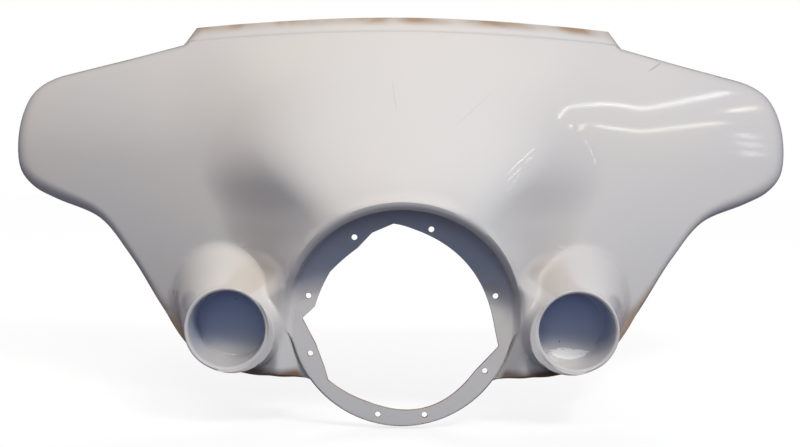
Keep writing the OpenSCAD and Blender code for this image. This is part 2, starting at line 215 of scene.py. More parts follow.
@dataclass
class ShellPlan:
    """Where the rows of the shell run, seen from the front."""

    form: ShellForm
    half_w: float = 437.0
    ring_r: float = 101.0
    edge_turn: float = 24.0
    skirt_d: float = 12.0
    flange_w: float = 18.0
    flange_step: float = 4.0
    screen_half_w: float = 229.0
    low_end: float = 4.0
    body_from: float = 5.0
    last_wing: float = 35.0
    last: float = 42.0
    block: Pair = (9.0, 19.0)
    rows: float = 17.0
    valley_row: float = 4.0
    loop_rows: Pair = (5.0, 15.0)
    rim_track: Track = Track(
        (5, 7, 9, 11, 13, 15, 17, 19, 22, 24, 26, 27, 28, 29, 30, 31, 32, 33, 34, 35),
        ((88.9, -57), (118, -57.2), (158, -56.5), (180, -54), (198, -46.5), (213, -35), (228, -20),
         (245, 0), (285, 49), (322, 83.5), (380, 102), (410, 114), (430, 133), (437, 163),
         (435, 197), (423, 223.5), (398, 238.5), (358, 247), (300, 258), (238, 271)), Join.FLOWING)
    angle_track: Track = Track((0, 4, 5, 8, 9, 19, 35, 36, 42),
                               (-90, -33.5, -30.5, -16, -6, 40, 69, 71, 90))
    inset_track: Track = Track((5, 6, 7, 8, 9, 13, 19, 22, 24, 26, 29, 31, 33, 35),
                               (3.4, 7.5, 9.5, 5.5, 4.5, 6, 9, 11, 13, 17, 20, 18, 13, 9))
    turn_track: Track = Track((5, 6, 9, 19, 22, 26, 29, 31, 35), (24, 18, 12, 14, 18, 22, 22, 20, 16))
    low_track: Track = Track((5, 9, 12, 15, 19, 22), (42, 46, 50, 62, 96, 132))
    ridge_track: Track = Track(
        NOSE_STATIONS,
        ((88.8, -52.6), (97, -46), (104.5, -37.5), (108, -28), (110.3, -9.5), (110.9, 7), (111.2, 24.5),
         (110.8, 40), (110.5, 56), (110, 72), (111, 92), (112, 114), (107, 136), (98, 153), (82, 162),
         (71, 162), (36, 158), (0, 156)))
    valley_track: Track = Track(
        NOSE_STATIONS,
        ((88.85, -52.9), (99.5, -47.3), (110, -41), (112, -32), (112.2, -7.5), (112.9, 8.5),
         (115, 25.5), (121, 40.5), (127, 56), (129, 73), (131, 95), (134, 119), (142, 148),
         (143, 173), (126, 191), (107, 193), (54, 192), (0, 192)))
    loop_track: Track = Track((-90, -60, -40, -20, 0, 45, 90, 120, 150, 180, 225, 270),
                              (44.3, 44.8, 47, 53, 63, 68, 68, 57, 48, 44.3, 42.5, 44.3))

    def flat_r(self, a: float) -> float:
        """Radius of the flat ring at an angle from +X, in degrees."""
        return self.ring_r + (4.5 * math.sin(math.radians(a)) if a < 0 else 2.5 * float(ease(a / 30.0)))

    def lip_w(self, a: float) -> float:
        """Width of the rounded lip between the ring and the body."""
        return float(mix(mix(4.2, 8.6, ease((a + 14.0) / 13.0)), 15.0, ease(a / 55.0)))

    def around(self, a: float, r: float) -> Array:
        """A point at an angle and radius from the ring centre."""
        return r * np.array([math.cos(math.radians(a)), math.sin(math.radians(a))])

    def outward(self, h: float) -> Array:
        """Direction across the free edge, away from the body."""
        d = self.rim_track.at(h + 0.05) - self.rim_track.at(h - 0.05)
        return np.array([d[1], -d[0]]) / np.hypot(*d)

    def shoulder(self, h: float) -> Array:
        """Where the body meets the turned edge or the screen flange."""
        if h <= self.low_end:
            a = float(self.angle_track.at(h))
            return self.around(a, self.flat_r(a) + 3.0)
        if h <= self.last_wing:
            return self.rim_track.at(h) - float(self.inset_track.at(h)) * self.outward(h)
        x = self.screen_half_w * (self.last - h) / (self.last - self.last_wing - 1.0)
        return np.array([x, 276.0 - 3.5 * (x / self.screen_half_w) ** 2])

    def start(self, h: float) -> Array:
        """Where the main rows begin, at the outer side of the lip."""
        a = float(self.angle_track.at(h))
        return self.around(a, self.flat_r(a) + (1.0 if h <= self.low_end else self.lip_w(a)))

    def near(self, h: float, j: Array) -> Array:
        """Rows from the lip over the ridge to the valley beside the nose."""
        a, b, c = self.start(h), self.ridge_track.at(h), self.valley_track.at(h)
        knots = np.array([a, mix(a, b, 0.3), b, (b + c) / 2.0, c])
        return np.stack([np.interp(j, np.arange(5), knots[:, k]) for k in (0, 1)], axis=1)

    def straight(self, h: float, j: Array) -> Array:
        """Rows that run straight out to the shoulder."""
        t = np.clip((j - self.valley_row) / (self.rows - self.valley_row), 0.0, 1.0)[:, None]
        out = mix(self.valley_track.at(h), self.shoulder(h), t * (0.8 + 0.2 * t))
        return np.where(j[:, None] <= self.valley_row, self.near(h, j), out)

    def loop(self, angle: Array) -> Array:
        """The loop round a lamp cup at angles from +X, in degrees."""
        a = np.radians(angle)
        r = self.loop_track.at(angle)
        return np.stack([self.form.cup_x + r * np.cos(a), self.form.cup_z + r * np.sin(a)], axis=1)

    def framed(self, h: float, j: Array, angle_in: Array, angle_out: Array) -> Array:
        """Rows that are led round the lamp cup.

        Args:
            h: Station.
            j: Rows.
            angle_in: Angle on the loop for each row between the two loop rows.
            angle_out: Angle on the loop where the outer rows leave it.

        Returns:
            One point for each row.
        """
        first, last = self.loop_rows
        lead = mix(self.valley_track.at(h), self.loop(angle_in[:1]), (j - self.valley_row)[:, None])
        share = ((j - last) / (self.rows - last))[:, None]
        tail = mix(self.loop(np.array([angle_out])), self.shoulder(h), share)
        out = np.where((j >= last)[:, None], tail, self.loop(angle_in))
        out = np.where((j < first)[:, None], lead, out)
        return np.where((j <= self.valley_row)[:, None], self.near(h, j), out)

    def bent(self, side: int, j: Array) -> Array:
        """Rows at the station where they part round the cup (side 0) or meet again (side 1)."""
        step = 9.0 * np.clip(j - self.loop_rows[0], 0.0, 10.0)
        angle = 180.0 + step if side == 0 else 90.0 - step
        return self.framed(self.block[side], j, angle, 270.0 if side == 0 else 0.0)

    def points(self, h: float, j: Array) -> Array:
        """Main rows of one station, seen from the front.

        Args:
            h: Station, from 0 at the bottom of the ring to the last at the top centre.
            j: Rows, from 0 at the lip to the last at the shoulder.

        Returns:
            One x and z for each row.
        """
        a, b = self.block
        if h <= self.low_end:
            return mix(self.start(h), self.shoulder(h), (j / self.rows)[:, None])
        if h < a:
            pull = max(0.0, h - (a - 1.0))
            return self.straight(h, j) + pull * (self.bent(0, j) - self.straight(a, j))
        if h > b:
            pull = 1.0 - float(ease((h - b) / 9.0))
            return self.straight(h, j) + pull * (self.bent(1, j) - self.straight(b, j))
        if h in self.block:
            return self.bent(self.block.index(h), j)
        angle = np.full(len(j), 180.0 - 9.0 * (h - a))
        return self.framed(h, j, angle, -90.0 + 9.0 * (h - a))


def flowing_profile(points: Array, counts: Sequence[int]) -> Array:
    """Joins the points of a cross-section by one smooth curve.

    Args:
        points: Points of the section; those past the last count only lead the curve's direction.
        counts: How many steps lie between each two points.

    Returns:
        The points of the curve, without the last one.
    """
    gap = np.maximum(np.linalg.norm(np.diff(points, axis=0), axis=1), 1e-6)
    s = np.concatenate([[0.0], np.cumsum(gap)])
    t = np.concatenate([np.linspace(s[k], s[k + 1], n, endpoint=False) for k, n in enumerate(counts)])
    return Track(tuple(s), tuple(map(tuple, points))).at(t)


def bezier(a: Array, b: Array, c: Array, d: Array, n: int) -> Array:
    """Points of a cubic curve after its start, n of them, the last at its end."""
    t = (np.arange(1, n + 1) / n)[:, None]
    s = 1.0 - t
    return s**3 * a + 3 * s * s * t * b + 3 * s * t * t * c + t**3 * d


@dataclass
class RingCut:
    """The flat ring with the opening that was cut by hand and its eight screw holes.

    Each corner of the opening gives its x and z and the rise of the arc to the next corner.
    """

    pcd: float = 178.0
    hole_d: float = 5.3
    ring_t: float = 3.0
    broken: float = 0.35
    hole_sides: int = 40
    hole_angles: tuple[float, ...] = (-104, -76, -30.4, 15.8, 72.9, 119.7, 164.8, 199.6)
    corners: tuple[Triple, ...] = (
        (-8.5, 90, 0.6), (9, 85.5, 17), (84.5, -1.5, 0), (89, -22.5, 0), (67, -46, 20), (-31.5, -74.5, 2),
        (-67.5, -54.5, 0), (-71, -42.5, 0), (-79, -21, 0), (-91.4, 2.6, 0), (-80.2, 13.2, 1),
        (-66.2, 45.3, 0.8), (-41.3, 67.3, 0), (-28, 81.5, 0))
    arc_step: float = 1.5

    def bow(self, p: Sequence[float], q: Sequence[float], rise: float) -> list[Array]:
        """Points of a shallow arc after p, up to but without q."""
        a, b = np.array(p, float), np.array(q, float)
        d = (b - a) / 2.0
        n = max(2, int(np.hypot(*d) / self.arc_step))
        side = np.array([-d[1], d[0]]) / np.hypot(*d)
        return [(a + b) / 2.0 + k * d + rise * (1.0 - k * k) * side for k in np.linspace(-1, 1, n + 1)[:-1]]

    def opening(self) -> Array:
        """The outline of the opening, clockwise seen from the front."""
        legs = zip(self.corners, self.corners[1:] + self.corners[:1])
        return np.array([p for a, b in legs for p in self.bow(a[:2], b[:2], a[2])])

    def hole_centres(self) -> Array:
        """Centres of the screw holes."""
        a = np.radians(self.hole_angles)
        return self.pcd / 2.0 * np.stack([np.cos(a), np.sin(a)], axis=1)

    def hole(self, centre: Array, r: float) -> Array:
        """The rim of one hole, clockwise seen from the front."""
        a = -np.arange(self.hole_sides) * 2.0 * math.pi / self.hole_sides
        return centre + r * np.stack([np.cos(a), np.sin(a)], axis=1)


def widened(loop: Array, by: float) -> Array:
    """A closed clockwise outline moved outwards by a small distance."""
    ahead, back = np.roll(loop, -1, axis=0) - loop, loop - np.roll(loop, 1, axis=0)
    along = sum(d / np.linalg.norm(d, axis=1)[:, None] for d in (ahead, back))
    along /= np.maximum(np.linalg.norm(along, axis=1), 1e-9)[:, None]
    return loop + by * np.stack([-along[:, 1], along[:, 0]], axis=1)


def inside(loop: Array, points: Array) -> Array:
    """Whether each point lies within a closed outline."""
    hit = np.zeros(len(points), bool)
    for (x0, z0), (x1, z1) in zip(loop, np.roll(loop, -1, axis=0)):
        if z0 != z1:
            crosses = (z0 > points[:, 1]) != (z1 > points[:, 1])
            hit ^= crosses & (points[:, 0] < (x1 - x0) * (points[:, 1] - z0) / (z1 - z0) + x0)
    return hit


class Zone(Enum):
    """Surfaces of the moulding that have a finish of their own."""

    GELCOAT = 0
    LAMINATE = 1
    CUT = 2


@dataclass
class MeshBook:
    """Collects the points and faces of one closed piece."""

    points: list[Array] = field(default_factory=list)
    faces: list[tuple[int, ...]] = field(default_factory=list)
    zones: list[int] = field(default_factory=list)
    count: int = 0

    def add(self, points: Array) -> Array:
        """Adds points in any arrangement and returns their numbers in the same arrangement."""
        flat = points.reshape(-1, 3)
        ids = np.arange(self.count, self.count + len(flat)).reshape(points.shape[:-1])
        self.points.append(flat)
        self.count += len(flat)
        return ids

    def skin(self, ids: Array, zone: Zone, around: bool = False, keep: Array | None = None) -> None:
        """Lays quads over a grid of point numbers.

        Args:
            ids: Grid of point numbers.
            zone: Finish of the quads.
            around: Whether the first axis closes on itself.
            keep: Optional grid that says which quads are made.
        """
        n = ids.shape[0] if around else ids.shape[0] - 1
        for i in range(n):
            a, b = ids[i], ids[(i + 1) % ids.shape[0]]
            for j in range(ids.shape[1] - 1):
                if keep is None or keep[i, j]:
                    self.faces.append((a[j], b[j], b[j + 1], a[j + 1]))
                    self.zones.append(zone.value)

    def fan(self, loop: Array, tip: int, zone: Zone) -> None:
        """Closes a loop of point numbers with triangles to one point."""
        for k in range(len(loop)):
            self.faces.append((loop[k], loop[(k + 1) % len(loop)], tip))
            self.zones.append(zone.value)


@dataclass
class FairingShell:
    """The whole moulding: body, hooded ring, lamp cups, turned edge and screen flange."""

    form: ShellForm = field(default_factory=ShellForm)
    cut: RingCut = field(default_factory=RingCut)
    cup_r: float = 34.6
    cup_floor_r: float = 32.8
    cup_depth: float = 45.0
    station_steps: int = 4
    row_steps: int = 3
    edge_rows: int = 12
    lip_steps: tuple[int, ...] = (2, 3, 4, 4, 4, 4)
    flat_margin: float = 3.0
    softening: int = 6

    def __post_init__(self) -> None:
        """Sets out the stations and rows."""
        self.plan = ShellPlan(self.form)
        p = self.plan
        n = int(round(p.last * self.station_steps))
        extra = [p.low_end + 0.9, p.body_from + 0.08]
        self.stations = np.array(sorted(set([k / self.station_steps for k in range(n + 1)] + extra)))
        self.main = np.arange(int(p.rows) * self.row_steps + 1) / self.row_steps

    def section(self, h: float) -> Array:
        """One cross-section from the ring to the free edge, seen at a station.

        Args:
            h: Station that isn't between two forms of edge.

        Returns:
            Points of the lip, the main rows and the edge.
        """
        p, form = self.plan, self.form
        a = float(p.angle_track.at(h))
        r, low = p.flat_r(a), h <= p.low_end
        d = float(form.reach(108.0 * math.sin(math.radians(a))))
        hood, side = float(ease((d - 8.0) / 18.0)), float(ease((a + 14.0) / 13.0))
        wide, m = p.lip_w(a), self.flat_margin
        if low:
            bare_r, bare_y = np.array([-m, 0, 0.3, 0.5, 0.7, 0.9]), np.array([0, 0, 0.2, 0.5, 0.9, 1.4])
        else:
            bare_r = mix(np.array([-m, 0, 1, 1.6, 2, 2.6]),
                         np.array([-m, 0, 0.3 * wide, 0.5 * wide, 0.68 * wide, 0.84 * wide]), side)
            bare_y = mix(np.array([0, 0, 0.4, 1.4, 3.4, 6]),
                         -0.1 * d * np.array([0, 0, 1.4, 3.6, 6.2, 8.2]), side)
        hood_r = [-m, 0.0, 0.8, 1.0, 1.6, 0.57 * wide]
        hood_y = [0.0, 0.0, -3.0, -0.5 * d, 5.0 - d, -d - 0.8]
        plan = p.points(h, self.main)
        if low:
            y = mix(1.8, p.skirt_d - 3.0, self.main / p.rows)
        else:
            y = form.depth(plan[:, 0], plan[:, 1])
        main = np.stack([plan[:, 0], y, plan[:, 1]], axis=1)
        lip = []
        for k in range(len(hood_r)):
            q = p.around(a, r + mix(bare_r[k], hood_r[k], hood))
            lip.append([q[0], float(mix(bare_y[k], hood_y[k], hood)), q[1]])
        lip = flowing_profile(np.concatenate([np.array(lip), main[:2]]), self.lip_steps)
        return np.concatenate([lip, main, self.edge(h, main[-1])])

    def edge(self, h: float, top: Array) -> Array:
        """The rows past the shoulder: skirt, turned edge or screen flange."""
        p, form, n = self.plan, self.form, self.edge_rows
        if h <= p.low_end:
            a = float(p.angle_track.at(h))
            t = np.arange(1, n + 1) / n
            q = np.array([p.around(a, p.flat_r(a) + 3.0 + 0.3 * k) for k in t])
            return np.stack([q[:, 0], p.skirt_d - 3.0 + 3.0 * t, q[:, 1]], axis=1)
        x, y, z = top
        if h > p.last_wing:
            lean = 3.5 * x / p.screen_half_w / p.flange_w
            slope = y - float(form.depth(x, z - 1.0))
            t = np.array([0.5, 1.0, 1.5, 2.0, 2.5, 3.0, 3.5, 6.0, 10.0, 14.0, 17.0, p.flange_w])
            return np.stack([x - lean * t, y + slope * t + p.flange_step * ease(t / 3.5), z + t], axis=1)
        out, inset = p.outward(h), float(p.inset_track.at(h))
        g = p.edge_turn / 24.0 * float(p.turn_track.at(h))
        s = min(3.0, max(0.0, (y - float(form.depth(x - 2 * out[0], z - 2 * out[1]))) / 2.0))
        lean = mix(min(s, 1.0), s, float(ease((h - 18.0) / 2.0)))
        p1 = top + 0.55 * inset * np.array([out[0], lean, out[1]])
        low = max(float(p.low_track.at(h)), y + 5.0)
        y3 = float(mix(low, y + 0.7 * s * inset + g, ease((h - 17.0) / 5.0)))
        p3 = np.array([x + inset * out[0], y3, z + inset * out[1]])
        p2 = p3 - np.array([0.0, min(0.6 * g, 0.5 * (y3 - y)), 0.0])
        return bezier(top, p1, p2, p3, n)

    def outer_skin(self) -> Array:
        """The outside surface as a grid of points, right half and then left."""
        p = self.plan
        half = []
        for h in self.stations:
            for a, b in ((p.low_end, p.body_from), (p.last_wing, p.last_wing + 1.0)):
                if a < h < b:
                    half.append(mix(self.section(a), self.section(b), (h - a) / (b - a)))
                    break
            else:
                half.append(self.section(float(h)))
        half = np.array(half)
        for k, h in enumerate(self.stations):
            if p.low_end < h < p.body_from:
                a = float(p.angle_track.at(h))
                for row, back in ((0, 1.0), (1, 0.5)):
                    half[k, row, [0, 2]] = p.around(a, p.flat_r(a) - back * self.flat_margin)
                    half[k, row, 1] = 0.0
        half[..., 0] = np.clip(half[..., 0], 0.0, p.half_w)
        left = half[-2:0:-1] * np.array([-1.0, 1.0, 1.0])
        return np.concatenate([half, left])

    def inner_skin(self, skin: Array) -> Array:
        """The inside surface, one skin thickness behind the outside one."""
        along = np.roll(skin, -1, axis=0) - np.roll(skin, 1, axis=0)
        across = np.gradient(skin, axis=1)
        n = np.cross(across, along)
        n /= np.maximum(np.linalg.norm(n, axis=2), 1e-9)[..., None]
        for _ in range(self.softening):
            n = (np.roll(n, 1, axis=0) + 2 * n + np.roll(n, -1, axis=0)) / 4
            n[:, 1:-1] = (n[:, :-2] + 2 * n[:, 1:-1] + n[:, 2:]) / 4
            n /= np.maximum(np.linalg.norm(n, axis=2), 1e-9)[..., None]
        n[:, :2] = (0.0, -1.0, 0.0)
        return skin - self.form.skin_t * n

    def cup_loop(self) -> tuple[Array, Array, Array]:
        """Grid places and angles of the loop round the right lamp cup.

        Returns:
            Station numbers, row numbers and angles from +X in degrees, in turn.
        """
        p = self.plan
        first = int(np.searchsorted(self.stations, p.block[0] - 1e-6))
        last = int(np.searchsorted(self.stations, p.block[1] - 1e-6))
        low, high = (sum(self.lip_steps) + int(row) * self.row_steps for row in p.loop_rows)
        n_row, n_st = high - low, last - first
        st = [first] * n_row + list(range(first, last)) + [last] * n_row + list(range(last, first, -1))
        row = list(range(low, high)) + [high] * n_st + list(range(high, low, -1)) + [low] * n_st
        sides = ((180.0, n_row), (270.0, n_st), (0.0, n_row), (90.0, n_st))
        angle = np.concatenate([start + 90.0 * np.arange(n) / n for start, n in sides])
        return np.array(st), np.array(row), angle

    def circle(self, angle: Array, r: float, y: float, shift: float = 0.0) -> Array:
        """A circle round the cup's axis, moved along the housing's slant by shift."""
        f, a = self.form, np.radians(angle)
        return np.stack([f.cup_x + f.pod_dx * shift + r * np.cos(a), np.full(len(a), y),
                         f.cup_z + f.pod_dz * shift + r * np.sin(a)], axis=1)

    def cup_outside(self, loop: Array, angle: Array) -> list[Array]:
        """Housing, rounded mouth, tapered wall and floor of a cup, ring by ring."""
        f, rings = self.form, []
        mouth = self.circle(angle, f.lip_r, 0.0)
        for t in np.linspace(0.0, 1.0, 13)[1:]:
            q = mix(loop, mouth, t)
            rings.append(np.stack([q[:, 0], f.depth(q[:, 0], q[:, 2]), q[:, 2]], axis=1))
        c, b, depth = self.cup_r, self.cup_floor_r, self.cup_depth
        edge = rings[-1][:, 1] - f.cup_y
        turns = [bezier(*np.array([[0, 1.0], [-0.1, 0.4], [-0.9, 0], [-1.6, 0]]), 6),
                 bezier(*np.array([[2.3, 0], [1.2, 0], [0.15, 0.9], [0, 3.0]]), 8)]
        for dr, y in turns[0]:
            rings.append(self.circle(angle, f.lip_r + dr, f.cup_y))
            rings[-1][:, 1] += y * edge
        for dr, y in turns[1]:
            rings.append(self.circle(angle, c + dr, f.cup_y + y))
        for t in np.linspace(0, 1, 9)[1:]:
            rings.append(self.circle(angle, mix(c, b, t), f.cup_y + mix(3.0, depth - 3.0, t)))
        fillet = np.array([[b, depth - 3.0], [b - 0.1, depth - 1.2], [b - 1.4, depth], [b - 3.5, depth]])
        for r, y in bezier(*fillet, 6):
            rings.append(self.circle(angle, r, f.cup_y + y))
        for r in (22.0, 14.0, 7.0):
            rings.append(self.circle(angle, r, f.cup_y + depth))
        return rings

    def cup_inside(self, loop: Array, angle: Array) -> list[Array]:
        """The back of the housing and the back of the cup, ring by ring."""
        f, t0, v, rings = self.form, self.form.skin_t, 29.0, []
        r = f.lip_r - 3.2
        v_r = r + f.pod_k * (v - 3.0)
        groove = self.circle(angle, v_r, 0.0, v)
        for t in np.linspace(0.0, 0.88, 7)[1:]:
            q = mix(loop, groove, t)
            y = f.depth(q[:, 0], q[:, 2], r) + 1.2 * t0 * (1.0 - t)
            y = mix(loop[:, 1], y, float(ease(t / 0.4)))
            rings.append(np.stack([q[:, 0], y, q[:, 2]], axis=1))
        rings.append(self.circle(angle, v_r, f.cup_y + v, v))
        for k in np.linspace(0, 1, 7)[1:]:
            r = mix(self.cup_r + 2.6, self.cup_floor_r + t0, k)
            rings.append(self.circle(angle, r, f.cup_y + mix(v, self.cup_depth, k)))
        for q, y in ((0.4, 1.6), (-0.6, 2.6), (-1.9, t0), (-10.0, t0), (-20.0, t0)):
            r = self.cup_floor_r + t0 * (q > 0) + q
            rings.append(self.circle(angle, r, f.cup_y + self.cup_depth + y))
        return rings

    def add_cup(self, book: MeshBook, skin: Array, ids: Array, inward: bool) -> None:
        """Adds both cups to one skin of the shell."""
        st, row, angle = self.cup_loop()
        n = ids.shape[0]
        rings = (self.cup_inside if inward else self.cup_outside)(skin[st, row], angle)
        zone = Zone.LAMINATE if inward else Zone.GELCOAT
        for side in (1, -1):
            base = ids[st if side > 0 else (n - st) % n, row]
            grid = np.array([base] + [book.add(r * np.array([side, 1, 1])) for r in rings])
            tip_y = self.form.cup_y + self.cup_depth + (self.form.skin_t if inward else 0.0)
            tip = int(book.add(np.array([[side * self.form.cup_x, tip_y, self.form.cup_z]]))[0])
            if (side > 0) == inward:
                grid = grid[:, ::-1]
            book.skin(grid.T, zone, around=True)
            book.fan(grid[-1], tip, zone)

    def add_ring_face(self, book: MeshBook, front: Array, back: Array, rim: Array) -> list[Array]:
        """Fills the flat ring between the skin and its cuts, front and back.

        Args:
            book: Where the points and faces go.
            front: Point numbers of the first row of the outside skin.
            back: Point numbers of the first row of the inside skin.
            rim: The same points seen from the front, x and z.

        Returns:
            Front and back point numbers of each cut, the opening first.
        """
        cut = self.cut
        loops = [widened(cut.opening(), cut.broken)]
        loops += [cut.hole(c, cut.hole_d / 2.0 + cut.broken) for c in cut.hole_centres()]
        flat = [rim] + loops
        verts, edges = np.concatenate(flat), []
        start = 0
        for loop in flat:
            edges += [(start + k, start + (k + 1) % len(loop)) for k in range(len(loop))]
            start += len(loop)
        out = delaunay_2d_cdt([Vector(v) for v in verts], edges, [], 0, 1e-5, True)
        if len(out[0]) != len(verts):
            raise ValueError("the cuts of the ring touch each other or its rim")
        source = np.array([ids[0] for ids in out[3]])
        tris = source[np.array([list(f) for f in out[2]])]
        mid = verts[tris].mean(axis=1)
        keep = inside(rim, mid)
        for k, t in enumerate(np.sort(tris, axis=1)):
            if t[2] < len(rim) and t[2] - t[0] == 2:
                (ax, az), (bx, bz), (cx, cz) = rim[t]
                keep[k] = (bx - ax) * (cz - az) > (bz - az) * (cx - ax)
        for loop in loops:
            keep &= ~inside(loop, mid)
        ids = []
        for near, y in ((front, 0.0), (back, cut.ring_t)):
            own = np.concatenate(loops)
            new = book.add(np.insert(own, 1, y, axis=1))
            ids.append(np.concatenate([near, new]))
        for t in tris[keep]:
            a, b, c = verts[t]
            turn = (b[0] - a[0]) * (c[1] - a[1]) - (b[1] - a[1]) * (c[0] - a[0])
            t = t if turn > 0 else t[::-1]
            book.faces.append(tuple(int(k) for k in ids[0][t]))
            book.zones.append(Zone.GELCOAT.value)
            book.faces.append(tuple(int(k) for k in ids[1][t[::-1]]))
            book.zones.append(Zone.LAMINATE.value)
        places, start = [], len(rim)
        for loop in loops:
            places.append(np.stack([ids[0][start:start + len(loop)], ids[1][start:start + len(loop)]]))
            start += len(loop)
        return places

    def build(self) -> MeshBook:
        """Makes the closed shell.

        Returns:
            The points and faces of the moulding, without the walls of its screw holes.
        """
        cut = self.cut
        book, skin = MeshBook(), self.outer_skin()
        inner = self.inner_skin(skin)
        out_ids, in_ids = book.add(skin), book.add(inner)
        st, row, _ = self.cup_loop()
        n = len(skin)
        keep = np.ones((n, skin.shape[1] - 1), bool)
        keep[st.min():st.max(), row.min():row.max()] = False
        keep[n - st.max():n - st.min(), row.min():row.max()] = False
        book.skin(out_ids[::-1], Zone.GELCOAT, True, np.roll(keep[::-1], -1, axis=0))
        book.skin(in_ids, Zone.LAMINATE, True, keep)
        self.add_cup(book, skin, out_ids, False)
        self.add_cup(book, inner, in_ids, True)
        between = [book.add(mix(skin[:, -1], inner[:, -1], t)) for t in (0.2, 0.5, 0.8)]
        rim = [out_ids[:, -1]] + between + [in_ids[:, -1]]
        book.skin(np.array(rim).T[::-1], Zone.CUT, True)
        cuts = self.add_ring_face(book, out_ids[:, 0], in_ids[:, 0], skin[:, 0][:, [0, 2]])
        front, back = cuts[0]
        depths = (cut.broken, cut.ring_t / 2.0, cut.ring_t - cut.broken)
        rows = [front] + [book.add(np.insert(cut.opening(), 1, y, axis=1)) for y in depths] + [back]
        book.skin(np.array(rows).T[::-1], Zone.CUT, True)
        LOG.info("shell grid %d stations by %d rows, %d faces", n, skin.shape[1], len(book.faces))
        return book


@dataclass
class Desk:
    """A node tree with short calls to add and join nodes."""

    tree: Tree
    column: int = 0

    def feed(self, socket: Socket, value: object) -> None:
        """Links a node's output to a socket, or sets the socket's own value."""
        if isinstance(value, Socket):
            self.tree.links.new(value, socket)
        else:
            socket.default_value = value

    def add(self, kind: str, inputs: dict | None = None, **settings: object) -> bpy.types.Node:
        """Adds a node.

        Args:
            kind: Blender's name of the node type.
            inputs: Values or output sockets for the inputs, by name or number.
            settings: Properties of the node, set before its inputs.

        Returns:
            The new node.
        """
        node = self.tree.nodes.new(kind)
        self.column += 1
        node.location = (200 * (self.column % 12), -260 * (self.column // 12))
        for key, value in settings.items():
            setattr(node, key, value)
        for key, value in (inputs or {}).items():
            self.feed(node.inputs[key], value)
        return node

    def get(self, kind: str, inputs: dict | None = None, **settings: object) -> Socket:
        """Adds a node and returns its first output."""
        return self.add(kind, inputs, **settings).outputs[0]

    def math(self, operation: str, a: object, b: object = 0.0, clamp: bool = False) -> Socket:
        """Works out one number from two."""
        return self.get("ShaderNodeMath", {0: a, 1: b}, operation=operation, use_clamp=clamp)

    def times(self, a: object, b: object) -> Socket:
        """Multiplies two numbers."""
        return self.math("MULTIPLY", a, b)

    def plus(self, a: object, b: object) -> Socket:
        """Adds two numbers."""
        return self.math("ADD", a, b)

    def ramp(self, value: object, low: object, high: object) -> Socket:
        """Eases a value from low..high to 0..1, held at both ends."""
        return self.get("ShaderNodeMapRange", {"Value": value, "From Min": low, "From Max": high},
                        interpolation_type="SMOOTHSTEP")

    def blend(self, factor: object, a: object, b: object) -> Socket:
        """Mixes two colours."""
        return self.add("ShaderNodeMix", {0: factor, 6: a, 7: b}, data_type="RGBA").outputs[2]

    def noise(self, where: Socket, size: object, detail: float, rough: float = 0.5,
              bent: float = 0.0) -> Socket:
        """Smooth noise, with size patches to the metre."""
        return self.get("ShaderNodeTexNoise", {"Vector": where, "Scale": size, "Detail": detail,
                                               "Roughness": rough, "Distortion": bent})

    def length(self, vector: Socket) -> Socket:
        """Length of a vector."""
        return self.add("ShaderNodeVectorMath", {0: vector}, operation="LENGTH").outputs["Value"]

    def bump(self, height: Socket, distance: float, strength: float) -> Socket:
        """Normal of a surface with a fine height on it."""
        return self.get("ShaderNodeBump", {"Height": height, "Distance": distance, "Strength": strength})

    def turned(self, where: Socket, place: Triple, turn: float, scale: Triple) -> Socket:
        """The place on a surface, seen from a spot that is moved, turned about Y in degrees and scaled."""
        inputs = {"Vector": where, "Location": place, "Scale": scale, "Rotation": (0.0, math.radians(turn), 0.0)}
        return self.get("ShaderNodeMapping", inputs, vector_type="TEXTURE")

    def use(self, group: Tree, where: Socket, **values: object) -> Socket:
        """Places a shader node group with its own values and returns its output."""
        inputs = {name.replace("_", " "): value for name, value in values.items()}
        return self.get("ShaderNodeGroup", {"Vector": where} | inputs, node_tree=group)


def colour(r: float, g: float, b: float) -> tuple[float, float, float, float]:
    """An opaque linear colour."""
    return (r, g, b, 1.0)


def new_group(name: str, numbers: dict[str, float], output: str) -> tuple[Desk, bpy.types.NodeOutputs]:
    """Starts a shader node group with a vector and some numbers as inputs and one number as output.

    Args:
        name: Name of the group.
        numbers: Default of each number, by name.
        output: Name of the output.

    Returns:
        A desk on the group's tree and the sockets of its inputs.
    """
    tree = bpy.data.node_groups.new(name, "ShaderNodeTree")
    tree.interface.new_socket(name="Vector", in_out="INPUT", socket_type="NodeSocketVector")
    for label, value in numbers.items():
        socket = tree.interface.new_socket(name=label, in_out="INPUT", socket_type="NodeSocketFloat")
        socket.default_value = value
    tree.interface.new_socket(name=output, in_out="OUTPUT", socket_type="NodeSocketFloat")
    desk = Desk(tree)
    return desk, desk.add("NodeGroupInput").outputs


def patchy_group() -> Tree:
    """Soft patches that change over the surface, for tint, stains and gloss."""
    desk, given = new_group("patchy", {"Size": 6.0, "Low": 0.25, "High": 0.75}, "Mask")
    noise = desk.noise(given["Vector"], given["Size"], 2.0, 0.45, 0.2)
    desk.add("NodeGroupOutput", {"Mask": desk.ramp(noise, given["Low"], given["High"])})
    return desk.tree


def waviness_group() -> Tree:
    """Height of a hand-made surface: slow waves with a fine grain on top."""
    numbers = {"Wave size": 9.0, "Wave": 1.0, "Grain size": 420.0, "Grain": 0.02}
    desk, given = new_group("waviness", numbers, "Height")
    slow = desk.noise(given["Vector"], given["Wave size"], 1.5, 0.4)
    fine = desk.noise(given["Vector"], given["Grain size"], 2.0, 0.6)
    height = desk.plus(desk.times(slow, given["Wave"]), desk.times(fine, given["Grain"]))
    desk.add("NodeGroupOutput", {"Height": height})
    return desk.tree


